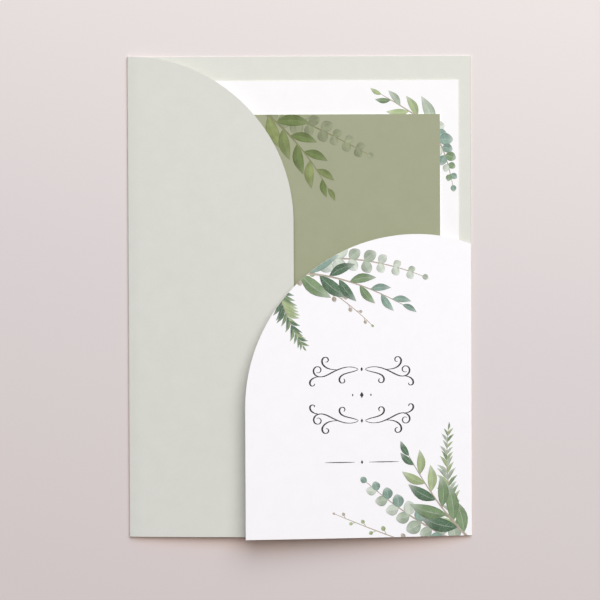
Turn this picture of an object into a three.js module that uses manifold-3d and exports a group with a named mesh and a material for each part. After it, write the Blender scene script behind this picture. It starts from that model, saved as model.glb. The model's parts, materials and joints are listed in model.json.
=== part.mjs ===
// Pocket fold invitation: one folded sheet of board with two flaps, and two loose cards inside.
// Millimetres. +X right, +Y up the folds, +Z towards the reader, origin under the middle.

import * as THREE from 'three';
import { mergeVertices } from 'three/addons/utils/BufferGeometryUtils.js';
import Module from 'manifold-3d';

// Folder, closed
const folderWidth = 121;
const folderHeight = 169;
const boardThick = 0.4;

// Left flap: full height, its upper end one round corner from the fold to the free edge
const leftFlapWidth = 58.4;
const leftCornerHeight = 58.4;
const leftSpringAngle = 2.8; // degrees at which the flap stands open past its fold
const leftBowRadius = 1600; // gentle bow of the flap, seen from its end
const leftCardClear = 0.15; // room between the flap and the small card's edge

// Right flap: the front cover, shorter, with an arched top that drops a little to its fold
const rightFlapWidth = 79.6;
const archHeight = 106.2;
const archRadius = 60.4;
const archDrop = 3.5;
const rightSpringAngle = 6; // degrees
const rightBowRadius = 2200;
const rightCardClear = 0.95;

// Cards: the steps are what shows of the sheet behind each one
const cardThick = 0.35;
const cardFoot = 0.5; // gap between the cards and the folder's lower edge
const largeTopStep = 8.6;
const largeRightStep = 4.4;
const largeFoldGap = 1.1; // gap between the large card and the start of the left fold
const smallTopStep = 11.9;
const smallRightStep = 6.6;
const smallLeftStep = 3.35;

// Scored folds close almost flat
const foldInner = 0.15;

// Building allowances
const trim = 2; // extra length that the flap outlines cut away
const lap = 1; // length of each fold's run that lies inside the back panel
const arcSteps = 14; // half the facets of each arc in a flap's section
const outlineSteps = 24; // half the facets of each arc in an outline

// Places that follow from the sizes
const halfWidth = folderWidth / 2;
const top = folderHeight / 2;
const foot = -top;
const foldOuter = foldInner + boardThick;
const bendX = halfWidth - foldOuter;
const cardFootY = foot + cardFoot;
const largeLeft = -bendX + largeFoldGap;
const largeRight = halfWidth - largeRightStep;
const largeTop = top - largeTopStep;
const smallLeft = largeLeft + smallLeftStep;
const smallRight = largeRight - smallRightStep;
const smallTop = largeTop - smallTopStep;
const leftEdgeX = leftFlapWidth - halfWidth;
const rightEdgeX = halfWidth - rightFlapWidth;
const archPeakX = rightEdgeX + archRadius;
const archPeakY = foot + archHeight;
const rightFoldTop = archPeakY - archDrop;

const sage = new THREE.MeshStandardMaterial({ color: 0xdbdcd3, roughness: 0.8, metalness: 0 });
const white = new THREE.MeshStandardMaterial({ color: 0xf8f6f6, roughness: 0.8, metalness: 0 });
const olive = new THREE.MeshStandardMaterial({ color: 0xa8ab8e, roughness: 0.8, metalness: 0 });

const wasm = await Module();
wasm.setup();

// Closed mesh to solid, with its shared corners merged
function toSolid(geometry) {
  const bare = geometry.clone();
  bare.deleteAttribute('normal');
  bare.deleteAttribute('uv');
  const merged = mergeVertices(bare);
  const vertProperties = new Float32Array(merged.attributes.position.array);
  const triVerts = new Uint32Array(merged.index.array);
  return new wasm.Manifold(new wasm.Mesh({ numProp: 3, vertProperties, triVerts }));
}

function toGeometry(solid) {
  const mesh = solid.getMesh();
  const geometry = new THREE.BufferGeometry();
  geometry.setAttribute('position', new THREE.BufferAttribute(mesh.vertProperties, 3));
  geometry.setIndex(new THREE.BufferAttribute(mesh.triVerts, 1));
  geometry.computeVertexNormals();
  return geometry;
}

// Plan outline in X and Y, raised from z = low by depth
function plate(shape, low, depth) {
  const settings = { depth, bevelEnabled: false, curveSegments: outlineSteps };
  return new THREE.ExtrudeGeometry(shape, settings).translate(0, 0, low);
}

function rectangle(left, right, low, high) {
  const shape = new THREE.Shape();
  shape.moveTo(left, low);
  shape.lineTo(right, low);
  shape.lineTo(right, high);
  shape.lineTo(left, high);
  shape.closePath();
  return shape;
}

// Unit vector at an angle
function direction(angle) {
  return new THREE.Vector2(Math.cos(angle), Math.sin(angle));
}

// Section of one fold and its flap, for the right-hand side, seen from the folder's foot.
// The board leaves the panel and turns back over it round the fold. A shoulder lifts it clear
// of the small card's edge and lays it over to its spring angle, and from there it runs on
// as a shallow bow until it is past the flap's free edge.
function flapSection({ width, cardInset, cardClear, springAngle, bowRadius }) {
  const run = cardInset - foldOuter;
  const rise = 2 * (cardThick - foldInner) + cardClear;
  const spring = THREE.MathUtils.degToRad(springAngle);
  const foldAngle = 2 * Math.atan2(rise, run) - spring;
  const leave = Math.PI / 2 - foldAngle;
  const settle = Math.PI / 2 - spring;
  const leaveNormal = direction(leave);
  const settleNormal = direction(settle);

  // Shoulder: both faces share their end normals, and each bends at where its tangents meet
  const start = new THREE.Vector2(bendX, foldOuter).addScaledVector(leaveNormal, foldOuter);
  const finish = start.clone().add(new THREE.Vector2(-run, rise));
  const tangent = Math.hypot(run, rise) / (2 * Math.cos((foldAngle - spring) / 2));
  const crest = start.clone().addScaledVector(direction(leave + Math.PI / 2), tangent);
  const mitre = boardThick / (1 + leaveNormal.dot(settleNormal));
  const crestUnder = crest.clone().addScaledVector(leaveNormal.clone().add(settleNormal), -mitre);
  const startUnder = start.clone().addScaledVector(leaveNormal, -boardThick);

  const bow = finish.clone().addScaledVector(settleNormal, -bowRadius);
  const end = Math.acos((halfWidth - width - trim - bow.x) / bowRadius);
  const shape = new THREE.Shape();
  shape.moveTo(bendX - lap, 0);
  shape.lineTo(bendX, 0);
  shape.absarc(bendX, foldOuter, foldOuter, -Math.PI / 2, leave, false);
  shape.quadraticCurveTo(crest.x, crest.y, finish.x, finish.y);
  shape.absarc(bow.x, bow.y, bowRadius, settle, end, false);
  shape.absarc(bow.x, bow.y, bowRadius - boardThick, end, settle, true);
  shape.quadraticCurveTo(crestUnder.x, crestUnder.y, startUnder.x, startUnder.y);
  shape.absarc(bendX, foldOuter, foldInner, leave, -Math.PI / 2, true);
  shape.lineTo(bendX - lap, boardThick);
  shape.closePath();
  return shape;
}

// The section carried along the fold, past both ends of the folder
function sweepAlongFold(section) {
  const depth = folderHeight + 2 * trim;
  const settings = { depth, bevelEnabled: false, curveSegments: arcSteps };
  const geometry = new THREE.ExtrudeGeometry(section, settings);
  return geometry.rotateX(Math.PI / 2).translate(0, top + trim, 0);
}

// Plan of the left flap: a square-cut foot, and a quarter arc from the free edge to the fold
function leftOutline() {
  const cornerY = top - leftCornerHeight;
  const shape = new THREE.Shape();
  shape.moveTo(-halfWidth - trim, foot);
  shape.lineTo(leftEdgeX, foot);
  shape.lineTo(leftEdgeX, cornerY);
  shape.absellipse(-halfWidth, cornerY, leftFlapWidth, leftCornerHeight, 0, Math.PI / 2, false);
  shape.lineTo(-halfWidth - trim, top);
  shape.closePath();
  return shape;
}

// Plan of the right flap: a quarter arc from the free edge up to the peak, then a flatter
// arc, level at the peak, that drops to the end of the fold
function rightOutline() {
  const run = halfWidth - archPeakX;
  const dropRadius = (run * run + archDrop * archDrop) / (2 * archDrop);
  const dropEnd = Math.PI / 2 - Math.asin(run / dropRadius);
  const shape = new THREE.Shape();
  shape.moveTo(halfWidth + trim, foot);
  shape.lineTo(halfWidth + trim, rightFoldTop);
  shape.lineTo(halfWidth, rightFoldTop);
  shape.absarc(archPeakX, archPeakY - dropRadius, dropRadius, dropEnd, Math.PI / 2, false);
  shape.absarc(archPeakX, archPeakY - archRadius, archRadius, Math.PI / 2, Math.PI, false);
  shape.lineTo(rightEdgeX, foot);
  shape.closePath();
  return shape;
}

// Back panel: it ends at the bends, and beside the arch it runs out to the folder's side
function panelOutline() {
  const shape = new THREE.Shape();
  shape.moveTo(-bendX, foot);
  shape.lineTo(bendX, foot);
  shape.lineTo(bendX, rightFoldTop);
  shape.lineTo(halfWidth, rightFoldTop);
  shape.lineTo(halfWidth, top);
  shape.lineTo(-bendX, top);
  shape.closePath();
  return shape;
}

// A flap is its swept section cut to its plan outline, which is made taller than it springs
function flap(sweep, outline, width) {
  const cutter = plate(outline, -trim, width + 2 * trim);
  return toSolid(sweep).intersect(toSolid(cutter));
}

// Mirror of a right-hand section, in place
function mirrored(section) {
  const { shape } = section.extractPoints(arcSteps);
  const points = shape.map((point) => new THREE.Vector2(-point.x, point.y));
  return new THREE.Shape(points.reverse());
}

function pocketFolder() {
  const leftSection = mirrored(flapSection({
    width: leftFlapWidth,
    cardInset: smallLeft + halfWidth,
    cardClear: leftCardClear,
    springAngle: leftSpringAngle,
    bowRadius: leftBowRadius,
  }));
  const rightSection = flapSection({
    width: rightFlapWidth,
    cardInset: halfWidth - smallRight,
    cardClear: rightCardClear,
    springAngle: rightSpringAngle,
    bowRadius: rightBowRadius,
  });
  const panel = toSolid(plate(panelOutline(), 0, boardThick));
  const left = flap(sweepAlongFold(leftSection), leftOutline(), leftFlapWidth);
  const right = flap(sweepAlongFold(rightSection), rightOutline(), rightFlapWidth);
  return toGeometry(panel.add(left).add(right));
}

// The cards lie face to face on the panel, their feet level
function largeCard() {
  return plate(rectangle(largeLeft, largeRight, cardFootY, largeTop), boardThick, cardThick);
}

function smallCard() {
  const bed = boardThick + cardThick;
  return plate(rectangle(smallLeft, smallRight, cardFootY, smallTop), bed, cardThick);
}

const group = new THREE.Group();

function addPiece(name, geometry, material) {
  const mesh = new THREE.Mesh(geometry, material);
  mesh.name = name;
  group.add(mesh);
}

addPiece('pocket_folder', pocketFolder(), sage);
addPiece('insert_card_large', largeCard(), white);
addPiece('insert_card_small', smallCard(), olive);

export default group;
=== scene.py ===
# Pocket fold invitation: a folder of sage board with a white arched cover, and two cards in it.
# Lengths in the dictionaries are millimetres, and mm turns them to Blender's metres.

import json
import math

import bmesh
import bpy
import numpy as np
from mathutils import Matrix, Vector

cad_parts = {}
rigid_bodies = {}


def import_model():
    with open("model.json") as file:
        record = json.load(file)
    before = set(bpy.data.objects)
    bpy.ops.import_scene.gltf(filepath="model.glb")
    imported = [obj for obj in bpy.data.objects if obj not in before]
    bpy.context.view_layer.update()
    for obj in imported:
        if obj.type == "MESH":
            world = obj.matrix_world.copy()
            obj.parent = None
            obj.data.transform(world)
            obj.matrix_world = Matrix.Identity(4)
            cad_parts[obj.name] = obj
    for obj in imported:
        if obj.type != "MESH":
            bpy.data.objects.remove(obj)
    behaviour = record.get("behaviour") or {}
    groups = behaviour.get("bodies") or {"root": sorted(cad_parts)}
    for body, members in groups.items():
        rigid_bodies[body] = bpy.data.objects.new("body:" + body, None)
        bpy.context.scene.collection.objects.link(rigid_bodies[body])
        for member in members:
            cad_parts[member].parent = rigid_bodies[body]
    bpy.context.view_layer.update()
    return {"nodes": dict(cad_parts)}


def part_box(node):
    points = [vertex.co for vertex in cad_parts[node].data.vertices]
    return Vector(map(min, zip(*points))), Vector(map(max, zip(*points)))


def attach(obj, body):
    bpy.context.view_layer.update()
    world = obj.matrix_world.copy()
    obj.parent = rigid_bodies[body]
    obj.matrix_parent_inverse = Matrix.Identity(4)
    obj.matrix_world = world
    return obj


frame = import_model()
mm = 0.001
folderLow, folderHigh = (np.array(corner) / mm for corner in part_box("pocket_folder"))
smallLow, smallHigh = (np.array(corner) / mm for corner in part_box("insert_card_small"))
largeLow, largeHigh = (np.array(corner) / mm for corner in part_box("insert_card_large"))
print("frame loaded:", ", ".join(sorted(frame["nodes"])))


# Colours are sRGB hex strings, turned to the linear values that shaders take
def linear(code):
    parts = [int(code[i:i + 2], 16) / 255 for i in (1, 3, 5)]
    return tuple(p / 12.92 if p <= 0.04045 else ((p + 0.055) / 1.055) ** 2.4 for p in parts) + (1.0,)


# Adds a node with its settings. A socket's value may be another node's output, which is linked
def addNode(tree, kind, sockets=None, **settings):
    made = tree.nodes.new("ShaderNode" + kind)
    for name, value in settings.items():
        setattr(made, name, value)
    for name, value in (sockets or {}).items():
        if isinstance(value, bpy.types.NodeSocket):
            tree.links.new(value, made.inputs[name])
        else:
            made.inputs[name].default_value = value
    return made


# An empty material, its tree and the object's own coordinates in metres
def startMaterial(name):
    material = bpy.data.materials.new(name)
    material.use_nodes = True
    tree = material.node_tree
    tree.nodes.clear()
    coordinates = addNode(tree, "TexCoord").outputs["Object"]
    return material, tree, coordinates


# Camera, almost straight above the folder
camera = {
    "place": (0.16, 2.53, 450.5),
    "turn": (-0.487, 0.012, -0.233),  # degrees
    "lens": 76.545,
    "sensor": 36,
    "nearest": 10,
}


def placeCamera():
    data = bpy.data.cameras.new("camera")
    data.lens = camera["lens"]
    data.sensor_width = camera["sensor"]
    data.clip_start = camera["nearest"] * mm
    made = bpy.data.objects.new("camera", data)
    made.location = [v * mm for v in camera["place"]]
    made.rotation_euler = [math.radians(v) for v in camera["turn"]]
    bpy.context.scene.collection.objects.link(made)
    bpy.context.scene.camera = made


# Light: an even pale surround, and one wide soft lamp beyond the top edge, a little to the right
light = {
    "surround": 0.2,
    "surroundColour": "#ffffff",
    "seenColour": "#e4dddb",  # what the camera sees past the floor
    "lampPlace": (410, 1157, 1560),
    "lampWidth": 2340,
    "lampShare": 1.06,  # light on a level sheet if it all came from the middle of the lamp
}


def placeLights():
    world = bpy.data.worlds.new("softRoom")
    world.use_nodes = True
    tree = world.node_tree
    tree.nodes.clear()
    glow = addNode(tree, "Background", {"Color": linear(light["surroundColour"]),
                                        "Strength": light["surround"]})
    seen = addNode(tree, "Background", {"Color": linear(light["seenColour"]), "Strength": 1})
    path = addNode(tree, "LightPath")
    both = addNode(tree, "MixShader", {0: path.outputs["Is Camera Ray"],
                                       1: glow.outputs[0], 2: seen.outputs[0]})
    addNode(tree, "OutputWorld", {"Surface": both.outputs[0]})
    bpy.context.scene.world = world

    place = np.array(light["lampPlace"]) * mm
    distance = np.linalg.norm(place)
    lamp = bpy.data.lights.new("softbox", "AREA")
    lamp.shape = "DISK"
    lamp.size = light["lampWidth"] * mm
    # Power that gives a level sheet its share: share * pi^2 * distance^2 / cosine of the slant
    lamp.energy = light["lampShare"] * math.pi ** 2 * distance ** 3 / place[2]
    made = bpy.data.objects.new("softbox", lamp)
    made.location = place
    made.rotation_euler = (0, math.acos(place[2] / distance), math.atan2(place[1], place[0]))
    bpy.context.scene.collection.objects.link(made)


# Floor: a smooth painted table top, its colour painted paler towards the light as painted light
floor = {
    "size": 6000,
    "drop": 0.02,  # below the folder, so that the two faces don't share a plane
    # painted light: the tones run paler towards the lamp, in place of its falloff
    "tones": ("#d8cdcd", "#dcd4d4", "#e8e0de"),
    "from": -120,  # the tones run from here up to there, the middle one at its share of the way
    "to": 120,
    "middle": 0.5,
    "slope": 0.2,  # share of the way right that counts as up, so that they run aslant
    "stipple": 1.1111,  # as a small roller leaves it
    "stippleHeight": 0.02,
    "stippleStrength": 0.3,
    "roughness": 0.9,
    "specular": 0.2,
    "paintedShade": "#eccdbd",  # painted warm shade: the tone where the folder hides most of the lamp's side of the room
    "shadeSide": (0, 0.8, 0.6),  # which side that is
    "shadeReach": 16,
    "shadeFrom": 0.86,  # share of that side that the floor sees where the tint begins
    "shadeTo": 0.3,
    "fadeStart": 150,  # distance at which the camera begins to see the pale room instead
    "fadeEnd": 750,
}


def paintedTableTop():
    # Matt paint with a very fine stipple, its tone painted paler towards the lamp as painted light.
    # Away from the folder it fades to the colour of the room behind it, for the camera alone, so
    # that no far edge shows. Under the folder's foot, where the folder hides the lamp's side of the
    # room, a painted warm shade tints the colour
    material, tree, coordinates = startMaterial("matt_paint")
    split = addNode(tree, "SeparateXYZ", {0: coordinates})
    # painted light: the colour runs paler towards the lamp along this slanted line
    lean = addNode(tree, "Math", {0: split.outputs["X"], 1: floor["slope"],
                                  2: split.outputs["Y"]}, operation="MULTIPLY_ADD")
    spot = addNode(tree, "MapRange", {"Value": lean.outputs[0], "From Min": floor["from"] * mm,
                                      "From Max": floor["to"] * mm})
    ramp = addNode(tree, "ValToRGB", {0: spot.outputs[0]})
    steps = ramp.color_ramp.elements
    steps[0].color, steps[1].color = linear(floor["tones"][0]), linear(floor["tones"][2])
    steps.new(floor["middle"]).color = linear(floor["tones"][1])
    stipple = addNode(tree, "TexNoise", {"Vector": coordinates, "Detail": 2,
                                         "Scale": 1 / (floor["stipple"] * mm)})
    bump = addNode(tree, "Bump", {"Height": stipple.outputs[0],
                                  "Strength": floor["stippleStrength"],
                                  "Distance": floor["stippleHeight"] * mm})
    # painted warm shade: the floor's colour is tinted where the folder hides the lamp's side of the
    # room
    toLamp = addNode(tree, "CombineXYZ", dict(zip("XYZ", floor["shadeSide"])))
    nearby = addNode(tree, "AmbientOcclusion", {"Distance": floor["shadeReach"] * mm,
                                                "Normal": toLamp.outputs[0]}, samples=8)
    paintedShadeShare = addNode(tree, "MapRange", {"Value": nearby.outputs["AO"],
                                        "From Min": floor["shadeFrom"],
                                        "From Max": floor["shadeTo"]})
    tone = addNode(tree, "Mix", {0: paintedShadeShare.outputs[0], 6: ramp.outputs[0],
                                 7: linear(floor["paintedShade"])}, data_type="RGBA")
    shader = addNode(tree, "BsdfPrincipled", {"Base Color": tone.outputs[2],
                                              "Roughness": floor["roughness"],
                                              "Specular IOR Level": floor["specular"],
                                              "Normal": bump.outputs[0]})
    distance = addNode(tree, "VectorMath", {0: coordinates}, operation="LENGTH")
    far = addNode(tree, "MapRange", {"Value": distance.outputs["Value"],
                                     "From Min": floor["fadeStart"] * mm,
                                     "From Max": floor["fadeEnd"] * mm},
                  interpolation_type="SMOOTHSTEP")
    path = addNode(tree, "LightPath")
    fade = addNode(tree, "Math", {0: far.outputs[0], 1: path.outputs["Is Camera Ray"]},
                   operation="MULTIPLY")
    room = addNode(tree, "Emission", {"Color": linear(light["seenColour"]), "Strength": 1})
    both = addNode(tree, "MixShader", {0: fade.outputs[0], 1: shader.outputs[0],
                                       2: room.outputs[0]})
    addNode(tree, "OutputMaterial", {"Surface": both.outputs[0]})
    return material


def layFloor():
    half = floor["size"] / 2 * mm
    level = (folderLow[2] - floor["drop"]) * mm
    mesh = bpy.data.meshes.new("table_top")
    mesh.from_pydata([(-half, -half, level), (half, -half, level), (half, half, level),
                      (-half, half, level)], [], [(0, 1, 2, 3)])
    mesh.materials.append(paintedTableTop())
    made = bpy.data.objects.new("table_top", mesh)
    bpy.context.scene.collection.objects.link(made)


placeCamera()
placeLights()
layFloor()
print("camera, light and table top placed")


# Cover: the right flap, whose outer face is white, and the plan of its arched top
cover = {
    "width": 79.6,
    "archHeight": 106.2,
    "archRadius": 60.4,
    "archDrop": 3.5,
    "dividerStart": 0.55,  # height at the fold of a plane between the cover and the sheets under it
    "dividerRise": 0.0635,  # its rise for each mm away from the fold
    "faceNormal": 0.3,  # least upward lean of a face that counts as the cover's outer face
    "printToFold": 0.15,  # print stops this far in from the fold's outside
    "foldLines": (0.55, 0.4, 0.27),  # and is divided here, to follow the round fold
    "archTangents": 33,
    "dropTangents": 9,
}
halfWidth = folderHigh[0]
foot = folderLow[1]
coverLeft = halfWidth - cover["width"]
archPeak = np.array([coverLeft + cover["archRadius"], foot + cover["archHeight"]])


# What all paper here shares
paper = {
    "cloudDetail": 4,
    "cloudRoughness": 0.6,
    "fibreDetail": 3,
    "grainRange": (0.32, 0.68),  # the noise's own range, spread to 0 and 1
    "bump": 0.6,
    "refraction": 1.5,
    "specular": 0.25,
    "cutNormal": 0.6,  # faces that lean up less than this are cut edges, or folds
}


# Paper grain: soft cloudiness and a fine fibre, from 0 to 1 in all
def paperGrain(tree, coordinates, finish):
    cloud = addNode(tree, "TexNoise", {"Vector": coordinates, "Scale": 1 / (finish["cloud"] * mm),
                                       "Detail": paper["cloudDetail"],
                                       "Roughness": paper["cloudRoughness"]})
    along = addNode(tree, "Mapping", {"Vector": coordinates, "Scale": (1, finish["fibreRun"], 1)})
    fibre = addNode(tree, "TexNoise", {"Vector": along.outputs[0], "Detail": paper["fibreDetail"],
                                       "Scale": 1 / (finish["fibre"] * mm)})
    both = addNode(tree, "Mix", {0: finish["fibreShare"], 2: cloud.outputs[0],
                                 3: fibre.outputs[0]}, data_type="FLOAT")
    low, high = paper["grainRange"]
    spread = addNode(tree, "MapRange", {"Value": both.outputs[0], "From Min": low,
                                        "From Max": high})
    return spread.outputs[0], fibre.outputs[0]


# Ends a paper material: the given colour, with grain in its roughness and its relief
def paperShader(tree, colour, grain, fibre, finish):
    low, high = finish["roughness"]
    rough = addNode(tree, "MapRange", {"Value": grain, "To Min": low, "To Max": high})
    bump = addNode(tree, "Bump", {"Height": fibre, "Distance": finish["relief"] * mm,
                                  "Strength": paper["bump"]})
    shader = addNode(tree, "BsdfPrincipled", {"Base Color": colour, "Roughness": rough.outputs[0],
                                              "IOR": paper["refraction"],
                                              "Specular IOR Level": paper["specular"],
                                              "Normal": bump.outputs[0]})
    addNode(tree, "OutputMaterial", {"Surface": shader.outputs[0]})


board = {
    "inside": ("#dcdcd4", "#e0e0d8"),
    # the outer sage is a little darker: painted shade, for the side flap that leans away from the
    # lamp
    "outside": ("#d8d8d1", "#dcdcd5"),
    "white": ("#faf7fa", "#fcfafc"),
    "core": "#efeee9",  # what a cut edge shows
    "foldShade": "#c0bbb4",  # painted shade along a sage fold, in a line broken by the fibre
    # the same painted fold shade, on the cover's white face
    "foldShadeWhite": "#f9f8fa",
    "cloud": 5,  # unevenness of the pulp
    "fibre": 0.35,  # about ten times the real width, which is too fine to show
    "fibreRun": 0.4,  # below 1, the fibre is drawn out along the folds
    "fibreShare": 0.35,
    "relief": 0.012,
    "roughness": (0.78, 0.9),
    "creaseWidth": 0.35,
    "foldMiddle": 0.55,  # half of the closed fold's height
    "foldReach": 1.1,  # how far in from the folder's sides its folds are round
    "endNormal": 0.5,  # faces that lean along the folds by more than this are square ends
}


def uncoatedBoard():
    # Uncoated board of 300 grams a square metre, printed sage on both sides, a little darker on
    # the outer one as painted shade, and left white on the cover's face: soft and matt, slightly
    # cloudy, with a fine fibre, paler where it is cut, and with painted shade along its folds
    material, tree, coordinates = startMaterial("uncoated_board")
    grain, fibre = paperGrain(tree, coordinates, board)
    inner, outer, white = (
        addNode(tree, "Mix", {0: grain, 6: linear(board[side][0]), 7: linear(board[side][1])},
                data_type="RGBA").outputs[2] for side in ("inside", "outside", "white"))
    place = addNode(tree, "SeparateXYZ", {0: coordinates})
    facing = addNode(tree, "SeparateXYZ", {0: addNode(tree, "NewGeometry").outputs["True Normal"]})

    # The sheet's outer side faces away from the middle of the fold's height
    middle = addNode(tree, "Math", {0: place.outputs["Z"], 1: board["foldMiddle"] * mm},
                     operation="SUBTRACT")
    away = addNode(tree, "Math", {0: middle.outputs[0], 1: facing.outputs["Z"]},
                   operation="MULTIPLY")
    isOuter = addNode(tree, "Math", {0: away.outputs[0], 1: 0}, operation="GREATER_THAN")
    # the outer side takes the darker sage, as painted shade
    sage = addNode(tree, "Mix", {0: isOuter.outputs[0], 6: inner, 7: outer}, data_type="RGBA")

    # Cover's face: above the plane z = start + rise * (halfWidth - x), and facing up
    level = cover["dividerStart"] + cover["dividerRise"] * halfWidth
    plane = addNode(tree, "Math", {0: place.outputs["X"], 1: cover["dividerRise"],
                                   2: place.outputs["Z"]}, operation="MULTIPLY_ADD")
    above = addNode(tree, "Math", {0: plane.outputs[0], 1: level * mm}, operation="GREATER_THAN")
    upward = addNode(tree, "Math", {0: facing.outputs["Z"], 1: cover["faceNormal"]},
                     operation="GREATER_THAN")
    onCover = addNode(tree, "Math", {0: above.outputs[0], 1: upward.outputs[0]},
                      operation="MULTIPLY")
    printed = addNode(tree, "Mix", {0: onCover.outputs[0], 6: sage.outputs[2], 7: white},
                      data_type="RGBA")

    # Painted shade along the folds, in a narrow line broken by the fibre, which doesn't show on the
    # white cover
    reach = addNode(tree, "Math", {0: place.outputs["X"]}, operation="ABSOLUTE")
    atFold = addNode(tree, "MapRange", {"Value": reach.outputs[0],
                                        "From Min": (halfWidth - board["creaseWidth"]) * mm,
                                        "From Max": halfWidth * mm})
    foldShadeShare = addNode(tree, "Math", {0: atFold.outputs[0], 1: fibre}, operation="MULTIPLY")
    foldShade = addNode(tree, "Mix", {0: onCover.outputs[0], 6: linear(board["foldShade"]),
                                   7: linear(board["foldShadeWhite"])}, data_type="RGBA")
    folded = addNode(tree, "Mix", {0: foldShadeShare.outputs[0], 6: printed.outputs[2],
                                   7: foldShade.outputs[2]}, data_type="RGBA")

    # Cut edges face sideways, and lie away from the rounded folds, square to them, or past the
    # right fold's end
    lean = addNode(tree, "Math", {0: facing.outputs["Z"]}, operation="ABSOLUTE")
    steep = addNode(tree, "Math", {0: lean.outputs[0], 1: paper["cutNormal"]},
                    operation="LESS_THAN")
    inside = addNode(tree, "Math", {0: reach.outputs[0], 1: (halfWidth - board["foldReach"]) * mm},
                     operation="LESS_THAN")
    end = addNode(tree, "Math", {0: facing.outputs["Y"]}, operation="ABSOLUTE")
    square = addNode(tree, "Math", {0: end.outputs[0], 1: board["endNormal"]},
                     operation="GREATER_THAN")
    right = addNode(tree, "Math", {0: place.outputs["X"], 1: 0}, operation="GREATER_THAN")
    pastFold = addNode(tree, "Math", {0: place.outputs["Y"],
                                      1: (archPeak[1] - cover["archDrop"]) * mm},
                       operation="GREATER_THAN")
    side = addNode(tree, "Math", {0: right.outputs[0], 1: pastFold.outputs[0]},
                   operation="MULTIPLY")
    either = addNode(tree, "Math", {0: inside.outputs[0], 1: square.outputs[0]},
                     operation="MAXIMUM")
    either = addNode(tree, "Math", {0: either.outputs[0], 1: side.outputs[0]},
                     operation="MAXIMUM")
    cut = addNode(tree, "Math", {0: steep.outputs[0], 1: either.outputs[0]}, operation="MULTIPLY")
    final = addNode(tree, "Mix", {0: cut.outputs[0], 6: folded.outputs[2],
                                  7: linear(board["core"])}, data_type="RGBA")
    paperShader(tree, final.outputs[2], grain, fibre, board)
    return material


# Cards: two sheets of one heavy smooth stock, one white and one printed olive all over
cardStock = {
    "cloud": 6,
    "fibre": 0.3,  # coarser than the real one, as the board's is
    "fibreRun": 0.5,
    "fibreShare": 0.3,
    "relief": 0.008,
    "roughness": (0.72, 0.84),
}
cards = {
    "insert_card_large": {
        "material": "smooth_card_white",
        "tones": ("#f8f6f7", "#fbf9fa"),
        "core": "#f7f5f5",  # what a cut edge shows
    },
    "insert_card_small": {
        "material": "smooth_card_olive",
        "tones": ("#a2a588", "#a6a98d"),
        "core": "#eceae2",
    },
}


def smoothCard(finish):
    # Smooth uncoated card: matt, evenly inked, with a white core at its cut edges
    material, tree, coordinates = startMaterial(finish["material"])
    grain, fibre = paperGrain(tree, coordinates, cardStock)
    face = addNode(tree, "Mix", {0: grain, 6: linear(finish["tones"][0]),
                                 7: linear(finish["tones"][1])}, data_type="RGBA")
    facing = addNode(tree, "SeparateXYZ", {0: addNode(tree, "NewGeometry").outputs["True Normal"]})
    lean = addNode(tree, "Math", {0: facing.outputs["Z"]}, operation="ABSOLUTE")
    cut = addNode(tree, "Math", {0: lean.outputs[0], 1: paper["cutNormal"]},
                  operation="LESS_THAN")
    final = addNode(tree, "Mix", {0: cut.outputs[0], 6: face.outputs[2],
                                  7: linear(finish["core"])}, data_type="RGBA")
    paperShader(tree, final.outputs[2], grain, fibre, cardStock)
    return material


def finishNode(name, material):
    for slot in frame["nodes"][name].material_slots:
        slot.material = material


finishNode("pocket_folder", uncoatedBoard())
for cardName, cardFinish in cards.items():
    finishNode(cardName, smoothCard(cardFinish))
print("board and cards finished")


# Height of the cover's outer face at each x, read from the folder's section at its upward faces
def coverProfile():
    mesh = frame["nodes"]["pocket_folder"].data
    points = np.empty(len(mesh.vertices) * 3)
    mesh.vertices.foreach_get("co", points)
    corners = np.empty(len(mesh.polygons) * 3, int)
    mesh.polygons.foreach_get("vertices", corners)
    facets = points.reshape(-1, 3)[corners].reshape(-1, 3, 3) / mm
    normals = np.cross(facets[:, 1] - facets[:, 0], facets[:, 2] - facets[:, 0])
    lean = normals[:, 2] / np.linalg.norm(normals, axis=1)
    centres = facets.mean(axis=1)
    divider = cover["dividerStart"] + cover["dividerRise"] * (halfWidth - centres[:, 0])
    onFace = (centres[:, 2] > divider) & (lean > cover["faceNormal"])
    spots = facets[onFace].reshape(-1, 3)
    along, first = np.unique(spots[:, 0].round(3), return_index=True)
    return along, spots[first, 2]


profileX, profileZ = coverProfile()


# Sheets that print lies on. Each gives the surface's height, the straight limits past which print is
# cut away, and the lines that divide it. A limit or line is a point and the way out from it, in plan
def coverHeight(plan):
    return np.interp(plan[:, 0], profileX, profileZ)


# Tangents of an arc: points at centre + radius * (cos a, sin a), for a from start to end
def arcLimits(centre, radius, start, end, count):
    angles = np.linspace(start, end, count)
    outward = np.stack([np.cos(angles), np.sin(angles)], axis=-1)
    return list(zip(centre + radius * outward, outward))


# Right of its peak the arch is a flatter arc, of radius (run^2 + drop^2) / (2 * drop)
def coverLimits():
    run, drop = halfWidth - archPeak[0], cover["archDrop"]
    dropRadius = (run ** 2 + drop ** 2) / (2 * drop)
    upright = math.pi / 2
    limits = arcLimits(archPeak - (0, cover["archRadius"]), cover["archRadius"] - edgeGap,
                       upright, math.pi, cover["archTangents"])
    limits += arcLimits(archPeak - (0, dropRadius), dropRadius - edgeGap,
                        upright - math.asin(run / dropRadius), upright, cover["dropTangents"])
    limits.append((np.array([0, foot + edgeGap]), (0, -1)))
    limits.append((np.array([halfWidth - cover["printToFold"], 0]), (1, 0)))
    return limits


# A flat rectangle between two corners, all at one height
def flatSheet(low, high, height):
    low, high = np.array(low), np.array(high)
    limits = [(low, (-1, 0)), (low, (0, -1)), (high, (1, 0)), (high, (0, 1))]
    return {"height": lambda plan: np.full(len(plan), height), "limits": limits, "lines": []}


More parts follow.
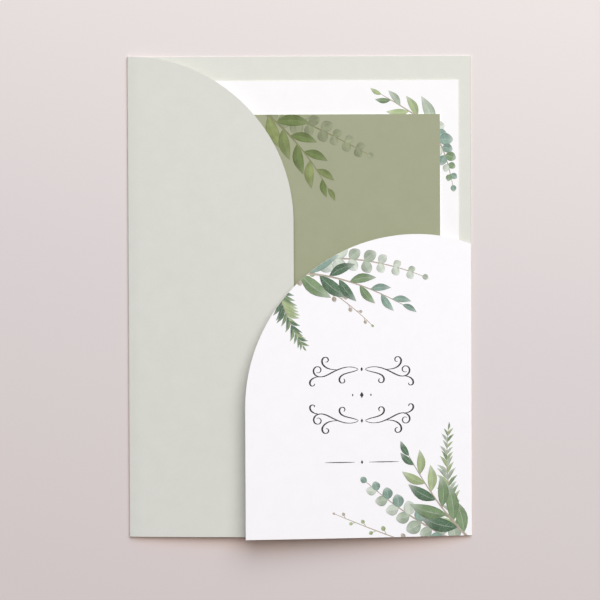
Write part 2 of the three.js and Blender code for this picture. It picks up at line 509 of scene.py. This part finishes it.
# How far print keeps inside a sheet's outline
edgeGap = 0.04
sheets = {
    "cover": {"height": coverHeight, "limits": coverLimits(),
              "lines": [(np.array([halfWidth - d, 0]), (1, 0)) for d in cover["foldLines"]]},
    "smallCard": flatSheet(smallLow[:2] + edgeGap, smallHigh[:2] - edgeGap, smallHigh[2]),
    "largeCardTop": flatSheet((largeLow[0] + edgeGap, smallHigh[1] + edgeGap),
                              largeHigh[:2] - edgeGap, largeHigh[2]),
    "largeCardSide": flatSheet((smallHigh[0] + edgeGap, largeLow[1] + edgeGap),
                               largeHigh[:2] - edgeGap, largeHigh[2]),
}

# Print: thin films of ink on the sheets
film = {
    "lift": 0.014,  # top of the lowest film above the paper
    "thick": 0.01,
    "layer": 0.004,  # each film above the ones that it crosses
    "snap": 0.001,  # a point this near to a cut counts as on it
    "sliver": 0.004,  # edges shorter than this are closed up
}


# Layer of each patch: one above the highest earlier patch whose box meets its own
def stackPatches(patches):
    lows = np.array([p["plan"].min(axis=(0, 1)) for p in patches])
    highs = np.array([p["plan"].max(axis=(0, 1)) for p in patches])
    layers = np.zeros(len(patches), int)
    for i in range(1, len(patches)):
        meets = np.all((lows[:i] < highs[i]) & (highs[:i] > lows[i]), axis=1)
        layers[i] = layers[:i][meets].max() + 1 if meets.any() else 0
    return layers


# Cuts a flat print along a sheet's limits, and divides it along its lines
def trimPrint(mesh, sheet):
    work = bmesh.new()
    work.from_mesh(mesh)
    for kind in ("limits", "lines"):
        for point, outward in sheet[kind]:
            bmesh.ops.bisect_plane(work, geom=[*work.verts, *work.edges, *work.faces],
                                   dist=film["snap"] * mm, plane_co=(*(point * mm), 0),
                                   plane_no=(*outward, 0), clear_outer=kind == "limits")
    bmesh.ops.dissolve_degenerate(work, dist=film["sliver"] * mm, edges=work.edges)
    work.to_mesh(mesh)
    work.free()


# Joins patches into one mesh on a sheet. A patch is a grid of plan points. It is cut to the
# sheet's outline while it is flat, and then z = the sheet's height there + lift + layer * order
def layPrint(name, patches, sheet, material):
    points, quads, places, washes, layers = [], [], [], [], []
    start = 0
    for patch, layer in zip(patches, stackPatches(patches)):
        rows, columns = patch["plan"].shape[:2]
        index = np.arange(rows * columns).reshape(rows, columns) + start
        cells = np.stack([index[:-1, :-1], index[1:, :-1], index[1:, 1:], index[:-1, 1:]], axis=-1)
        level = np.zeros((rows, columns, 1))
        points.append(np.concatenate([patch["plan"], level], axis=-1).reshape(-1, 3))
        quads.append(cells.reshape(-1, 4))
        seed = np.full((rows, columns), patch["seed"])
        places.append(np.stack([patch["along"], patch["across"], seed], axis=-1).reshape(-1, 3))
        washes.append(np.tile(patch["wash"], (rows * columns, 1)))
        layers.append(np.full(rows * columns, float(layer)))
        start += rows * columns
    mesh = bpy.data.meshes.new(name)
    mesh.from_pydata((np.concatenate(points) * mm).tolist(), [], np.concatenate(quads).tolist())
    place = mesh.attributes.new("place", "FLOAT_VECTOR", "POINT")
    place.data.foreach_set("vector", np.concatenate(places).reshape(-1))
    wash = mesh.attributes.new("wash", "FLOAT_COLOR", "POINT")
    wash.data.foreach_set("color", np.concatenate(washes).reshape(-1))
    order = mesh.attributes.new("order", "FLOAT", "POINT")
    order.data.foreach_set("value", np.concatenate(layers))
    trimPrint(mesh, sheet)

    count = len(mesh.vertices)
    spots, layer = np.empty(count * 3), np.empty(count)
    mesh.vertices.foreach_get("co", spots)
    mesh.attributes["order"].data.foreach_get("value", layer)
    spots = spots.reshape(-1, 3)
    height = sheet["height"](spots[:, :2] / mm) + film["lift"] + film["layer"] * layer
    spots[:, 2] = height * mm
    mesh.vertices.foreach_set("co", spots.reshape(-1))
    mesh.attributes.remove(mesh.attributes["order"])
    mesh.update()
    mesh.materials.append(material)
    piece = bpy.data.objects.new(name, mesh)
    bpy.context.scene.collection.objects.link(piece)
    solid = piece.modifiers.new("film", "SOLIDIFY")
    solid.thickness = film["thick"] * mm
    solid.offset = -1
    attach(piece, "root")
    print(name, len(patches), "patches,", len(mesh.polygons), "faces")


paint = {
    "cloud": 2.6,
    "speck": 0.35,  # about three times the real grain of pigment, which is too fine to show
    "rim": 0.24,  # how much the pigment that pools at a leaf's outline darkens it
    "rimStart": 0.72,  # shares across a leaf are 0 at its midrib and 1 at its outline
    "halfTone": 0.16,  # difference between a leaf's two halves
    "halfBlur": 0.12,
    "blotch": 0.3,
    "blotchRange": (0.3, 0.7),  # the noise's own range
    "full": 1.05,  # the wash where nothing darkens it
    "vein": 0.35,
    "veinWidth": 0.07,
    "veinFade": (0.5, 0.9),  # shares along a leaf are 0 at its stalk and 1 at its tip
    "tipStart": 0.55,
    "tipThin": 0.28,
    "grainRange": (0.45, 0.75),
    "grainThin": 0.14,
    "grounds": ("#a4a78a", "#f9f9f9"),  # the olive card and the white sheets, through thin paint
    "roughness": (0.7, 0.86),
    "relief": 0.01,
}


def watercolourPrint():
    # Watercolour greenery, printed: clouded washes, darker where the paint pooled at the outline,
    # one half of a leaf lighter, and a pale midrib that fades to the tip
    material, tree, coordinates = startMaterial("watercolour_print")
    wash = addNode(tree, "Attribute", attribute_name="wash")
    place = addNode(tree, "Attribute", attribute_name="place").outputs["Vector"]
    split = addNode(tree, "SeparateXYZ", {0: place})
    along, across, seed = (split.outputs[i] for i in range(3))
    aside = addNode(tree, "Math", {0: across}, operation="ABSOLUTE").outputs[0]
    cloud = addNode(tree, "TexNoise", {"Vector": coordinates, "W": seed, "Detail": 3,
                                       "Scale": 1 / (paint["cloud"] * mm)},
                    noise_dimensions="4D").outputs[0]
    speck = addNode(tree, "TexNoise", {"Vector": coordinates, "Detail": 2,
                                       "Scale": 1 / (paint["speck"] * mm)}).outputs[0]

    # Darkening: the pooled rim, the shaded half and the cloud, added up
    rim = addNode(tree, "MapRange", {"Value": aside, "From Min": paint["rimStart"],
                                     "To Max": paint["rim"]}, interpolation_type="SMOOTHSTEP")
    half = addNode(tree, "MapRange", {"Value": across, "From Min": -paint["halfBlur"],
                                      "From Max": paint["halfBlur"], "To Max": paint["halfTone"]})
    low, high = paint["blotchRange"]
    blotch = addNode(tree, "MapRange", {"Value": cloud, "From Min": low, "From Max": high,
                                        "To Min": -paint["blotch"] / 2,
                                        "To Max": paint["blotch"] / 2})
    dark = addNode(tree, "Math", {0: rim.outputs[0], 1: half.outputs[0]}, operation="ADD")
    dark = addNode(tree, "Math", {0: dark.outputs[0], 1: blotch.outputs[0]}, operation="ADD")
    tone = addNode(tree, "Math", {0: paint["full"], 1: dark.outputs[0]}, operation="SUBTRACT")
    shaded = addNode(tree, "VectorMath", {0: wash.outputs["Color"], "Scale": tone.outputs[0]},
                     operation="SCALE")

    # The wash thins towards the tip and along the midrib, and lets the paper through
    veinLine = addNode(tree, "MapRange", {"Value": aside, "From Max": paint["veinWidth"],
                                          "To Min": paint["vein"], "To Max": 0})
    low, high = paint["veinFade"]
    veinFade = addNode(tree, "MapRange", {"Value": along, "From Min": low, "From Max": high,
                                          "To Min": 1, "To Max": 0})
    vein = addNode(tree, "Math", {0: veinLine.outputs[0], 1: veinFade.outputs[0]},
                   operation="MULTIPLY")
    tip = addNode(tree, "MapRange", {"Value": along, "From Min": paint["tipStart"],
                                     "To Max": paint["tipThin"]}, interpolation_type="SMOOTHSTEP")
    low, high = paint["grainRange"]
    grain = addNode(tree, "MapRange", {"Value": speck, "From Min": low, "From Max": high,
                                       "To Max": paint["grainThin"]})
    thin = addNode(tree, "Math", {0: vein.outputs[0], 1: tip.outputs[0]}, operation="ADD")
    thin = addNode(tree, "Math", {0: thin.outputs[0], 1: grain.outputs[0]}, operation="ADD")
    ground = addNode(tree, "Mix", {0: wash.outputs["Alpha"], 6: linear(paint["grounds"][0]),
                                   7: linear(paint["grounds"][1])}, data_type="RGBA")
    colour = addNode(tree, "Mix", {0: thin.outputs[0], 6: shaded.outputs[0],
                                   7: ground.outputs[2]}, data_type="RGBA")
    paperShader(tree, colour.outputs[2], cloud, speck, paint)
    return material


ink = {
    "tones": ("#353538", "#444447"),
    "cloud": 1.5,
    "speck": 0.3,  # about as coarse as the board's fibre
    "roughness": (0.6, 0.75),
    "relief": 0.006,
}


def greyInk():
    # Offset ink on uncoated stock: near black, slightly thin where the fibre is proud
    material, tree, coordinates = startMaterial("grey_ink")
    cloud = addNode(tree, "TexNoise", {"Vector": coordinates, "Detail": 3,
                                       "Scale": 1 / (ink["cloud"] * mm)}).outputs[0]
    speck = addNode(tree, "TexNoise", {"Vector": coordinates, "Detail": 2,
                                       "Scale": 1 / (ink["speck"] * mm)}).outputs[0]
    colour = addNode(tree, "Mix", {0: speck, 6: linear(ink["tones"][0]),
                                   7: linear(ink["tones"][1])}, data_type="RGBA")
    paperShader(tree, colour.outputs[2], cloud, speck, ink)
    return material


# Leaf shapes. The outline's half width is width / 2 * sin(pi * t^skew)^fullness
leafKinds = {
    "round": {"length": 6.0, "width": 5.2, "skew": 0.92, "fullness": 0.6, "bend": 0.03,
              "spread": 58, "pairs": True, "stalk": 0.5, "stalkHalf": 0.14},
    "oval": {"length": 12.5, "width": 4.4, "skew": 0.86, "fullness": 0.95, "bend": 0.06,
             "spread": 36, "pairs": False, "stalk": 0.7, "stalkHalf": 0.16},
    "frond": {"length": 6.6, "width": 1.55, "skew": 0.8, "fullness": 0.9, "bend": -0.08,
              "spread": 48, "pairs": True, "stalk": 0},
    "bud": {"length": 2.3, "width": 1.9, "skew": 0.9, "fullness": 0.55, "bend": 0,
            "spread": 50, "pairs": False, "stalk": 1.8, "stalkHalf": 0.11},
}
leafGrid = {"rows": 11, "columns": 3, "bluntEnd": 0.07}


# One leaf: t runs along it and s across it. Its midrib bows aside by bend * length * sin(pi * t)
def leafPatch(base, heading, size, kind, side, wash, seed):
    turn = np.linspace(leafGrid["bluntEnd"], math.pi - leafGrid["bluntEnd"], leafGrid["rows"])
    t = 0.5 - 0.5 * np.cos(turn)[:, None]
    s = np.linspace(-1, 1, leafGrid["columns"])[None, :]
    length = kind["length"] * size
    half = kind["width"] / 2 * size * np.sin(math.pi * t ** kind["skew"]) ** kind["fullness"]
    forward = length * t + 0 * s
    aside = s * half + side * kind["bend"] * length * np.sin(math.pi * t)
    x = base[0] + forward * math.cos(heading) - aside * math.sin(heading)
    y = base[1] + forward * math.sin(heading) + aside * math.cos(heading)
    return {"plan": np.stack([x, y], axis=-1), "along": t + 0 * s, "across": s * side + 0 * t,
            "seed": seed, "wash": wash}


# What a stroke's shading sees: no tip, and little of an outline
stroke = {"along": 0.5, "across": (-0.5, 0.15, 0.5)}


# A stroke of ink or paint, for s of -1, 0 and 1: point = path + s * half * normal of the path
def strokePatch(path, half, wash, seed):
    step = np.gradient(path, axis=0)
    step /= np.linalg.norm(step, axis=1)[:, None]
    normal = np.stack([-step[:, 1], step[:, 0]], axis=-1)
    s = np.array([-1, 0, 1])[None, :, None]
    plan = path[:, None, :] + s * normal[:, None, :] * half[:, None, None]
    t = np.linspace(0, stroke["along"], len(path))[:, None]
    across = np.array(stroke["across"])[None, :]
    return {"plan": plan, "along": t + 0 * across, "across": across + 0 * t, "seed": seed,
            "wash": wash}


# How twigs grow. A leaf's size is size * (1 - shrink * share^shrinkPower), for a share of 0 at the
# first leaf and 1 at the tip, and its spread is spread * (1 - close * share)
growth = {
    "pathSteps": 40,
    "look": 0.01,  # share of the path over which its heading is taken
    "stemRoot": 0.42,  # half width of a stem
    "stemTip": 0.1,
    "firstLeaf": 0.1,  # share of the path
    "shrink": 0.55,
    "shrinkPower": 1.4,
    "sizes": (0.88, 1.1),  # drawn by chance: the size of a pair, of a leaf, and a leaf's tone
    "leafSizes": (0.9, 1.08),
    "leafTones": (0.92, 1.06),
    "close": 0.35,
    "wobble": 9,  # degrees
    "stalkSteps": 6,
    "stalkLap": 0.2,  # how far a stalk runs under its leaf
    "seeds": 9,
}


# Twig: a quadratic Bezier, (1 - t)^2 * root + 2 * t * (1 - t) * control + t^2 * tip
def twigPath(twig, t):
    root, control, tip = (np.array(twig[name], float) for name in ("root", "control", "tip"))
    t = np.asarray(t, float)[..., None]
    return (1 - t) ** 2 * root + 2 * t * (1 - t) * control + t ** 2 * tip


# A twig's stem, then its leaves from root to tip, smaller towards the tip, with one at its end
def growTwig(twig, tones, rng):
    kind = leafKinds[twig["kind"]]
    path = twigPath(twig, np.linspace(0, 1, growth["pathSteps"]))
    stemHalf = np.linspace(twig.get("stem", growth["stemRoot"]), growth["stemTip"], len(path))
    patches = [strokePatch(path, stemHalf, tones["stem"], rng.uniform(0, growth["seeds"]))]
    count, first = twig["count"], growth["firstLeaf"]
    wobble = growth["wobble"]
    for i in range(count + 1):
        share = i / count
        t = first + (1 - first) * share
        before, here = twigPath(twig, [t - growth["look"], t])
        heading = math.atan2(*(here - before)[::-1])
        shrink = 1 - growth["shrink"] * share ** growth["shrinkPower"]
        size = twig["size"] * shrink * rng.uniform(*growth["sizes"])
        if i == count:
            sides = (0,)
        elif kind["pairs"]:
            sides = (1, -1)
        else:
            sides = (1,) if i % 2 else (-1,)
        for side in sides:
            spread = kind["spread"] * (1 - growth["close"] * share) + rng.uniform(-wobble, wobble)
            turned = heading + side * math.radians(spread)
            away = np.array([math.cos(turned), math.sin(turned)])
            stalk = kind["stalk"] * size if side else 0
            if stalk:
                run = np.linspace(0, stalk + growth["stalkLap"], growth["stalkSteps"])
                line = here + run[:, None] * away
                patches.append(strokePatch(line, np.full(len(run), kind["stalkHalf"]),
                                           tones["stem"], 0))
            tone = tones[twig["tones"][int(rng.integers(len(twig["tones"])))]]
            wash = tone * np.array([*([rng.uniform(*growth["leafTones"])] * 3), 1])
            leafSize = size * rng.uniform(*growth["leafSizes"])
            patches.append(leafPatch(here + away * stalk, turned, leafSize, kind, side or 1,
                                     wash, rng.uniform(0, growth["seeds"])))
    return patches


# Washes are kept with an alpha that says which paper is under them: 0 is olive and 1 is white
def washes(codes, ground):
    return {name: np.array([*linear(code)[:3], ground]) for name, code in codes.items()}


greenery = washes({
    "dark": "#557256",
    "mid": "#7b936b",
    "fresh": "#a6b585",
    "grey": "#aab6a2",
    "pale": "#cbd3c5",
    "blue": "#86a092",
    "stem": "#b5a898",
}, 1.0)
tonal = washes({
    "dark": "#6f7f4c",
    "mid": "#7f8b58",
    "fresh": "#8a9560",
    "grey": "#8f9576",
    "pale": "#9a9f81",
    "blue": "#7d8870",
    "stem": "#8b8c68",
}, 0.0)

# Sprays of twigs, painted in this order
sprays = {
    "cover_spray_upper": {
        "sheet": "cover", "slot": "folder_board", "tones": greenery, "seed": 11,
        "twigs": [
            {"root": (-4, 9), "control": (12, 3), "tip": (25, -10), "kind": "bud", "count": 9,
             "size": 1.0, "tones": ["fresh", "stem"], "stem": 0.28},
            {"root": (-3, 12), "control": (20, 16), "tip": (43, 7), "kind": "round", "count": 8,
             "size": 0.95, "tones": ["pale", "grey"]},
            {"root": (-8, 5), "control": (-6, -6), "tip": (1, -17), "kind": "frond", "count": 14,
             "size": 0.95, "tones": ["mid", "fresh", "dark"]},
            {"root": (-4, 8), "control": (14, 9), "tip": (36, -3), "kind": "oval", "count": 10,
             "size": 1.0, "tones": ["dark", "mid", "blue"]},
        ],
    },
    "cover_spray_lower": {
        "sheet": "cover", "slot": "folder_board", "tones": greenery, "seed": 5,
        "twigs": [
            {"root": (56, -88), "control": (50, -66), "tip": (52, -47), "kind": "frond",
             "count": 16, "size": 0.95, "tones": ["fresh", "grey", "mid"]},
            {"root": (48, -90), "control": (30, -84), "tip": (12, -76), "kind": "bud",
             "count": 9, "size": 1.0, "tones": ["fresh", "stem"], "stem": 0.28},
            {"root": (58, -88), "control": (40, -80), "tip": (23, -65), "kind": "round",
             "count": 8, "size": 1.0, "tones": ["pale", "blue", "grey"]},
            {"root": (60, -86), "control": (49, -76), "tip": (38, -56), "kind": "oval",
             "count": 10, "size": 1.05, "tones": ["dark", "mid", "fresh"]},
        ],
    },
    "small_card_spray": {
        "sheet": "smallCard", "slot": "olive_card", "tones": tonal, "seed": 3,
        "twigs": [
            {"root": (-14, 68), "control": (6, 60), "tip": (24, 50), "kind": "round", "count": 8,
             "size": 0.9, "tones": ["pale", "grey"]},
            {"root": (-14, 66), "control": (0, 56), "tip": (10, 38), "kind": "oval", "count": 9,
             "size": 1.0, "tones": ["dark", "mid", "fresh"]},
        ],
    },
    "large_card_spray_top": {
        "sheet": "largeCardTop", "slot": "white_card", "tones": greenery, "seed": 8,
        "twigs": [
            {"root": (49, 58), "control": (41, 64), "tip": (29, 71), "kind": "oval", "count": 6,
             "size": 0.85, "tones": ["mid", "grey", "fresh"]},
        ],
    },
    "large_card_spray_side": {
        "sheet": "largeCardSide", "slot": "white_card", "tones": greenery, "seed": 9,
        "twigs": [
            {"root": (45, 60), "control": (51, 55), "tip": (54, 39), "kind": "round", "count": 7,
             "size": 0.8, "tones": ["blue", "mid", "pale"]},
        ],
    },
}

watercolour = watercolourPrint()
for sprayName, spray in sprays.items():
    generator = np.random.default_rng(spray["seed"])
    grownPatches = []
    for oneTwig in spray["twigs"]:
        grownPatches += growTwig(oneTwig, spray["tones"], generator)
    layPrint(sprayName, grownPatches, sheets[spray["sheet"]], watercolour)

# Scroll ornament in grey ink, in mirrored pairs. A stroke's curl is its curvature, for each mm,
# at its start, past its middle and at its end, and a branch leaves its parent at a share of it
scroll = {
    "upper": (21.5, -25.5),
    "lower": (21.5, -43.5),
    "pen": 0.27,
    "hair": 0.05,
    "lightest": 0.35,  # share of the pen's width in a level stroke
    "penTaper": (0.02, 0.5),  # margin and fullness
    "ruleTaper": (0.03, 0.6),
    "steps": 90,
    "turnsTight": 0.45,  # share of a stroke after which it curls tighter
    "strokes": [
        {"from": (1.1, 0), "heading": 32, "length": 24, "curl": (-0.19, 0.0, 1.1)},
        {"parent": 0, "share": 0.3, "heading": 22, "length": 12, "curl": (0.02, 0.3, 1.4)},
        {"from": (1.1, 0), "heading": -34, "length": 12, "curl": (0.22, -0.15, -1.5)},
        {"parent": 0, "share": 0.6, "heading": -20, "length": 7, "curl": (-0.05, -0.45, -1.6)},
    ],
    "lozenges": [(0, -25.5, 0.75), (0, -43.5, 0.75), (0, -34.5, 1.1), (-3.2, -34.5, 0.5),
                 (3.2, -34.5, 0.5), (0, -58, 0.7)],  # aside, up, half height
    "lozengeSteps": 9,
    "lozengeWidth": 0.6,  # share of its height
    "lozengeBlunt": 0.02,
    "rules": [(2.4, 13, -58, 0.16)],  # from, to, up, half thickness
    "ruleSteps": 24,
}


# A stroke's path from the middle outwards: its heading is the running sum of its curvature, and
# its place is the running sum of steps of equal length along its heading
def scrollPath(stroke, drawn):
    steps = scroll["steps"]
    ease = np.linspace(0, 1, steps)
    curvature = np.interp(ease, (0, scroll["turnsTight"], 1), stroke["curl"])
    step = stroke["length"] / steps
    start, heading = np.array(stroke.get("from", (0, 0)), float), math.radians(stroke["heading"])
    if "parent" in stroke:
        trunk = drawn[stroke["parent"]]
        at = int(stroke["share"] * steps)
        start = trunk[at]
        heading += math.atan2(*(trunk[at + 1] - trunk[at])[::-1])
    turned = heading + np.cumsum(curvature) * step
    return start + np.cumsum(np.stack([np.cos(turned), np.sin(turned)], axis=-1), axis=0) * step


# Taper of a stroke's width: sin(pi * t)^fullness, for t from the margin to 1 less the margin
def strokeTaper(count, margin, fullness):
    return np.sin(math.pi * np.linspace(margin, 1 - margin, count)) ** fullness


# Half the stroke's width, fuller where it climbs or falls, and tapered at both ends:
# pen * (lightest + (1 - lightest) * climb) * taper + hair, for a climb of 0 when level to 1 upright
def penHalf(path):
    step = np.gradient(path, axis=0)
    climb = np.abs(step[:, 1]) / np.linalg.norm(step, axis=1)
    fullness = scroll["lightest"] + (1 - scroll["lightest"]) * climb
    taper = strokeTaper(len(path), *scroll["penTaper"])
    return scroll["pen"] * fullness * taper + scroll["hair"]


def scrollPatches():
    tone = np.array([*linear(ink["tones"][0])[:3], 1.0])
    drawn = []
    for stroke in scroll["strokes"]:
        drawn.append(scrollPath(stroke, drawn))
    patches = []
    for centre, flip in ((scroll["upper"], 1), (scroll["lower"], -1)):
        for path in drawn:
            for side in (1, -1):
                placed = np.array(centre) + path * (side, flip)
                patches.append(strokePatch(placed, penHalf(placed), tone, 0))
    middle = scroll["upper"][0]
    for aside, up, half in scroll["lozenges"]:
        rise = np.linspace(-1, 1, scroll["lozengeSteps"])
        path = np.stack([np.full(len(rise), middle + aside), up + rise * half], axis=-1)
        wide = scroll["lozengeWidth"] * half * (1 + scroll["lozengeBlunt"] - np.abs(rise))
        patches.append(strokePatch(path, wide, tone, 0))
    for near, far, up, half in scroll["rules"]:
        for side in (1, -1):
            x = middle + side * np.linspace(near, far, scroll["ruleSteps"])
            path = np.stack([x, np.full(len(x), up)], axis=-1)
            taper = strokeTaper(len(x), *scroll["ruleTaper"])
            patches.append(strokePatch(path, half * taper, tone, 0))
    return patches


layPrint("cover_scroll", scrollPatches(), sheets["cover"], greyInk())

bpy.context.scene.view_settings.view_transform = "Standard"
